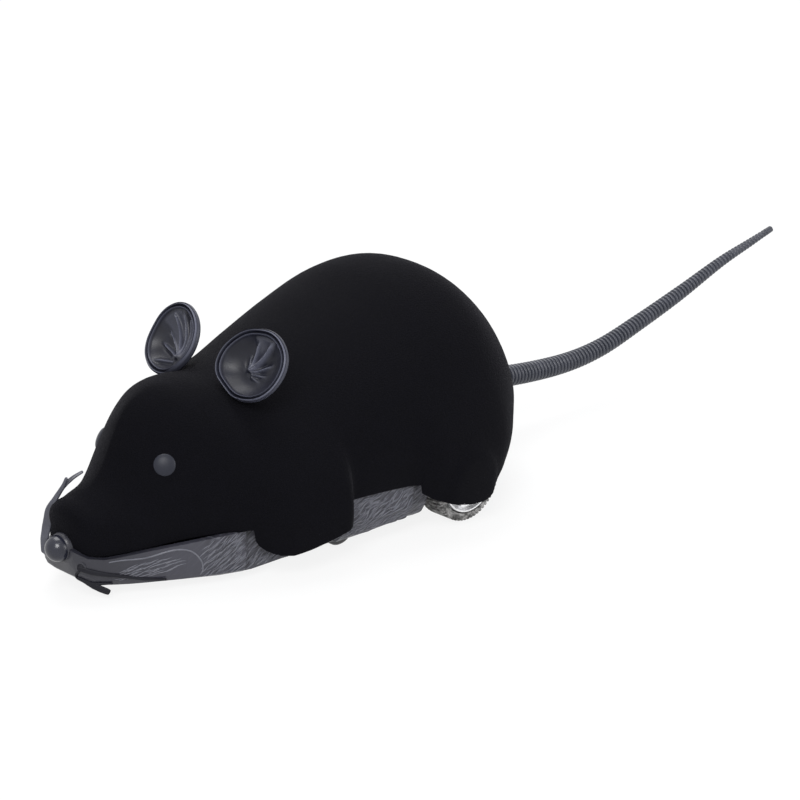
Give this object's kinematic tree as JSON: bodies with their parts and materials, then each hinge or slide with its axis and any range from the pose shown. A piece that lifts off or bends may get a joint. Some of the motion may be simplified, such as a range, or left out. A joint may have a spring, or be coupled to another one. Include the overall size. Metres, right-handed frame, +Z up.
{
  "type": "robotic mouse cat toy",
  "caption": "Battery-driven toy mouse for cats: black flocked body over a slate chassis, rubber ears, nose, whiskers and ringed tail, driven rear wheels.",
  "frame": {"origin": "on the ground under the middle of the bounding box, halfway between nose and tail tip", "axes": "+Z up, -Y toward the nose, +Y toward the tail tip, +X to the mouse's own left"},
  "size_m": [0.0688, 0.2202, 0.0489],
  "materials": {
    "shell_flock": "short black flock over moulded plastic",
    "chassis_plastic": "satin slate plastic with moulded fur strokes",
    "dark_rubber": "soft satin rubber",
    "nose_rubber": "glossy soft rubber",
    "eye_plastic": "glossy",
    "tyre_rubber": "matt",
    "roller_plastic": "satin",
    "hub_chrome": "bright plated",
    "steel": "plain",
    "brass": "plain",
    "gear_plastic": "natural",
    "gearbox_plastic": "natural",
    "motor_can": "plated",
    "battery_sleeve": "plain printed sleeve",
    "contact_metal": "nickel plated",
    "board_laminate": "solder mask",
    "chip_plastic": "matt",
    "can_metal": "plain",
    "capacitor_sleeve": "glossy sleeve",
    "switch_plastic": "satin",
    "wire_red": "insulation",
    "wire_black": "insulation"
  },
  "bodies": {
    "mouse_body": {"battery_lead": "wire_red", "battery_left": "battery_sleeve", "battery_right": "battery_sleeve", "board_lead": "wire_black", "body_screw_front": "steel", "body_screw_left": "steel", "body_screw_right": "steel", "capacitor": "capacitor_sleeve", "chassis": "chassis_plastic", "circuit_board": "board_laminate", "contact_bridge": "contact_metal", "contact_plate_left": "contact_metal", "contact_plate_right": "contact_metal", "contact_spring_left": "contact_metal", "contact_spring_right": "contact_metal", "control_chip": "chip_plastic", "ear_left": "dark_rubber", "ear_right": "dark_rubber", "eye_left": "eye_plastic", "eye_right": "eye_plastic", "gearbox_left": "gearbox_plastic", "gearbox_right": "gearbox_plastic", "idler_pin_left": "steel", "idler_pin_right": "steel", "motor_clamp": "steel", "motor_lead_left": "wire_red", "motor_lead_right": "wire_black", "motor_left": "motor_can", "motor_right": "motor_can", "nose": "nose_rubber", "power_switch": "switch_plastic", "rear_axle": "steel", "switch_lead": "wire_red", "timing_crystal": "can_metal", "upper_shell": "shell_flock", "whiskers_left": "dark_rubber", "whiskers_right": "dark_rubber"},
    "wheel_left": {"wheel_hub_left": "hub_chrome", "tyre_left": "tyre_rubber", "wheel_gear_left": "gear_plastic"},
    "wheel_right": {"wheel_hub_right": "hub_chrome", "tyre_right": "tyre_rubber", "wheel_gear_right": "gear_plastic"},
    "compound_left": {"compound_gear_left": "gear_plastic"},
    "compound_right": {"compound_gear_right": "gear_plastic"},
    "pinion_left": {"motor_pinion_left": "brass"},
    "pinion_right": {"motor_pinion_right": "brass"},
    "roller_left": {"front_roller_left": "roller_plastic"},
    "roller_right": {"front_roller_right": "roller_plastic"},
    "knob": {"switch_knob": "switch_plastic"},
    "door": {"battery_door": "chassis_plastic", "door_screw": "steel"},
    "tail_piece": {"tail": "dark_rubber"}
  },
  "joints": [
    {"name": "wheel_left_spin", "type": "hinge", "parent": "mouse_body", "child": "wheel_left", "pos_m": [0.023, -0.0222, 0.009], "axis": [1, 0, 0], "continuous": true},
    {"name": "compound_left_spin", "type": "hinge", "parent": "mouse_body", "child": "compound_left", "pos_m": [0.0142, -0.02535, 0.01525], "axis": [1, 0, 0], "continuous": true},
    {"name": "pinion_left_spin", "type": "hinge", "parent": "mouse_body", "child": "pinion_left", "pos_m": [0.014, -0.02851, 0.0215], "axis": [1, 0, 0], "continuous": true},
    {"name": "roller_left_spin", "type": "hinge", "parent": "mouse_body", "child": "roller_left", "pos_m": [0.017, -0.0502, 0.004], "axis": [1, 0, 0], "continuous": true},
    {"name": "wheel_right_spin", "type": "hinge", "parent": "mouse_body", "child": "wheel_right", "pos_m": [-0.023, -0.0222, 0.009], "axis": [1, 0, 0], "continuous": true},
    {"name": "compound_right_spin", "type": "hinge", "parent": "mouse_body", "child": "compound_right", "pos_m": [-0.0142, -0.02535, 0.01525], "axis": [1, 0, 0], "continuous": true},
    {"name": "pinion_right_spin", "type": "hinge", "parent": "mouse_body", "child": "pinion_right", "pos_m": [-0.014, -0.02851, 0.0215], "axis": [1, 0, 0], "continuous": true},
    {"name": "roller_right_spin", "type": "hinge", "parent": "mouse_body", "child": "roller_right", "pos_m": [-0.017, -0.0502, 0.004], "axis": [1, 0, 0], "continuous": true},
    {"name": "switch_slide", "type": "slide", "parent": "mouse_body", "child": "knob", "axis": [1, 0, 0], "range_m": [0, 0.0025]},
    {"name": "door_hinge", "type": "hinge", "parent": "mouse_body", "child": "door", "pos_m": [0, -0.07665, 0.0019], "axis": [-1, 0, 0], "range_deg": [0, 80]},
    {"name": "tail_sway", "type": "hinge", "parent": "mouse_body", "child": "tail_piece", "pos_m": [0, 0.0076, 0.0162], "axis": [0, 0, 1], "range_deg": [-20, 20], "stiffness_Nm_per_rad": 0.008}
  ],
  "couplings": [
    {"joint": "compound_left_spin", "follows": "wheel_left_spin", "ratio": -2.5},
    {"joint": "pinion_left_spin", "follows": "wheel_left_spin", "ratio": 6.25},
    {"joint": "compound_right_spin", "follows": "wheel_right_spin", "ratio": -2.5},
    {"joint": "pinion_right_spin", "follows": "wheel_right_spin", "ratio": 6.25}
  ]
}
